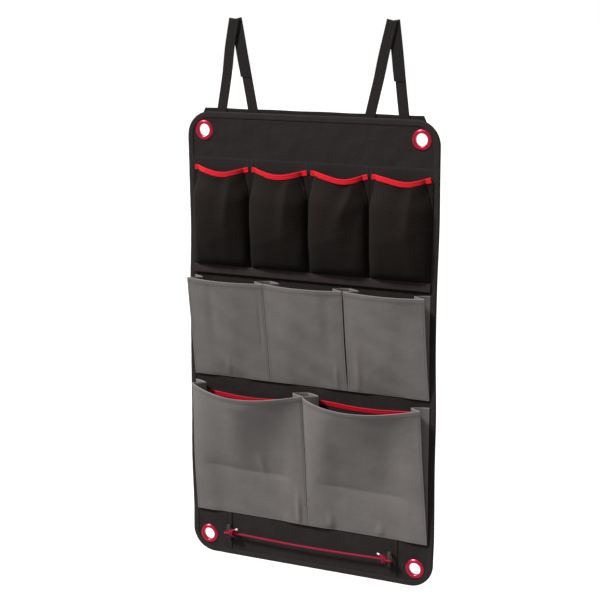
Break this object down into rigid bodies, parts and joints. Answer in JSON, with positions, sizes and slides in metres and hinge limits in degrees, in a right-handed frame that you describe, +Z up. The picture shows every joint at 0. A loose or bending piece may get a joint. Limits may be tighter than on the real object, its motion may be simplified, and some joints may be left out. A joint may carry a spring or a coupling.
{
  "type": "hanging pocket organizer",
  "caption": "Fabric wall organizer with webbing hangers, corner eyelets, bulging mesh pockets, folded bellows pockets and an elastic cord along its foot.",
  "frame": {"origin": "middle of the line on which a rail or hooks carry the hangers, level with their inner crotch, in the plane of the panel's rear face", "axes": "+Z up along the panel, -Y out of the pockets towards the viewer, +X to the viewer's right"},
  "size_m": [0.5062, 0.073, 1.0433],
  "materials": {
    "panel_cloth": "matt coated canvas",
    "binding_tape": "woven tape",
    "lining_cloth": "matt cloth",
    "air_mesh": "spacer mesh",
    "grey_cloth": "matt coated cloth",
    "red_elastic": "ribbed elastic",
    "dark_red_elastic": "ribbed elastic",
    "red_metal": "glossy metallic lacquer",
    "steel": "satin",
    "red_cord": "braided sheath over elastic",
    "webbing": "woven webbing",
    "hook_cloth": "hook tape",
    "loop_cloth": "loop tape"
  },
  "bodies": {
    "panel": {"back_panel": "panel_cloth", "edge_binding": "binding_tape", "top_band": "webbing", "mesh_row_lining": "lining_cloth", "mesh_row_tape": "binding_tape", "mesh_pocket_1": "air_mesh", "mesh_pocket_2": "air_mesh", "mesh_pocket_3": "air_mesh", "mesh_pocket_4": "air_mesh", "elastic_trim_1": "red_elastic", "elastic_trim_2": "red_elastic", "elastic_trim_3": "red_elastic", "elastic_trim_4": "red_elastic", "middle_gusset_1_left": "grey_cloth", "middle_gusset_1_right": "grey_cloth", "middle_gusset_2_left": "grey_cloth", "middle_gusset_2_right": "grey_cloth", "middle_gusset_3_left": "grey_cloth", "middle_gusset_3_right": "grey_cloth", "large_gusset_1_left": "grey_cloth", "large_gusset_1_right": "grey_cloth", "large_gusset_2_left": "grey_cloth", "large_gusset_2_right": "grey_cloth", "inner_pocket_1": "panel_cloth", "inner_pocket_2": "panel_cloth", "inner_trim_1": "dark_red_elastic", "inner_trim_2": "dark_red_elastic", "eyelet_top_left": "red_metal", "eyelet_top_right": "red_metal", "eyelet_bottom_left": "red_metal", "eyelet_bottom_right": "red_metal", "eyelet_washer_top_left": "steel", "eyelet_washer_top_right": "steel", "eyelet_washer_bottom_left": "steel", "eyelet_washer_bottom_right": "steel", "cord_anchor_tape_left": "webbing", "cord_anchor_tape_right": "webbing", "cord_loop_left": "webbing", "cord_loop_right": "webbing", "bungee_cord": "red_cord", "cord_tip_left": "steel", "cord_tip_right": "steel", "hanger_root_left_front": "webbing", "hanger_root_left_rear": "webbing", "hanger_root_right_front": "webbing", "hanger_root_right_rear": "webbing"},
    "middle_front_1": {"middle_pocket_front_1": "grey_cloth"},
    "middle_front_2": {"middle_pocket_front_2": "grey_cloth"},
    "middle_front_3": {"middle_pocket_front_3": "grey_cloth"},
    "large_front_1": {"large_pocket_front_1": "grey_cloth"},
    "large_front_2": {"large_pocket_front_2": "grey_cloth"},
    "hanger_left_rear_leg": {"hanger_rear_tape_left": "webbing", "loop_patch_left": "loop_cloth"},
    "hanger_left_front_leg": {"hanger_front_tape_left": "webbing", "hook_patch_left": "hook_cloth"},
    "hanger_right_rear_leg": {"hanger_rear_tape_right": "webbing", "loop_patch_right": "loop_cloth"},
    "hanger_right_front_leg": {"hanger_front_tape_right": "webbing", "hook_patch_right": "hook_cloth"}
  },
  "joints": [
    {"name": "middle_pocket_1_opening", "type": "hinge", "parent": "panel", "child": "middle_front_1", "pos_m": [-0.16113, -0.006, -0.63287], "axis": [1, 0, 0], "range_deg": [-8, 6.5], "deforming": ["middle_gusset_1_left", "middle_gusset_1_right"]},
    {"name": "middle_pocket_2_opening", "type": "hinge", "parent": "panel", "child": "middle_front_2", "pos_m": [0, -0.006, -0.63287], "axis": [1, 0, 0], "range_deg": [-8, 6.5], "deforming": ["middle_gusset_2_left", "middle_gusset_2_right"]},
    {"name": "middle_pocket_3_opening", "type": "hinge", "parent": "panel", "child": "middle_front_3", "pos_m": [0.16113, -0.006, -0.63287], "axis": [1, 0, 0], "range_deg": [-8, 6.5], "deforming": ["middle_gusset_3_left", "middle_gusset_3_right"]},
    {"name": "large_pocket_1_opening", "type": "hinge", "parent": "panel", "child": "large_front_1", "pos_m": [-0.12085, -0.0071, -0.90887], "axis": [1, 0, 0], "range_deg": [-5, 6], "deforming": ["large_gusset_1_left", "large_gusset_1_right"]},
    {"name": "large_pocket_2_opening", "type": "hinge", "parent": "panel", "child": "large_front_2", "pos_m": [0.12085, -0.0071, -0.90887], "axis": [1, 0, 0], "range_deg": [-5, 6], "deforming": ["large_gusset_2_left", "large_gusset_2_right"]},
    {"name": "hanger_left_swing", "type": "hinge", "parent": "panel", "child": "hanger_left_rear_leg", "pos_m": [-0.15, 0.00215, -0.11637], "axis": [1, 0, 0], "range_deg": [-120, 90]},
    {"name": "hanger_left_closure", "type": "hinge", "parent": "hanger_left_rear_leg", "child": "hanger_left_front_leg", "pos_m": [-0.15, 0.00215, -0.11637], "axis": [1, 0, 0], "range_deg": [0, 45]},
    {"name": "hanger_right_swing", "type": "hinge", "parent": "panel", "child": "hanger_right_rear_leg", "pos_m": [0.15, 0.00215, -0.11637], "axis": [1, 0, 0], "range_deg": [-120, 90]},
    {"name": "hanger_right_closure", "type": "hinge", "parent": "hanger_right_rear_leg", "child": "hanger_right_front_leg", "pos_m": [0.15, 0.00215, -0.11637], "axis": [1, 0, 0], "range_deg": [0, 45]}
  ]
}
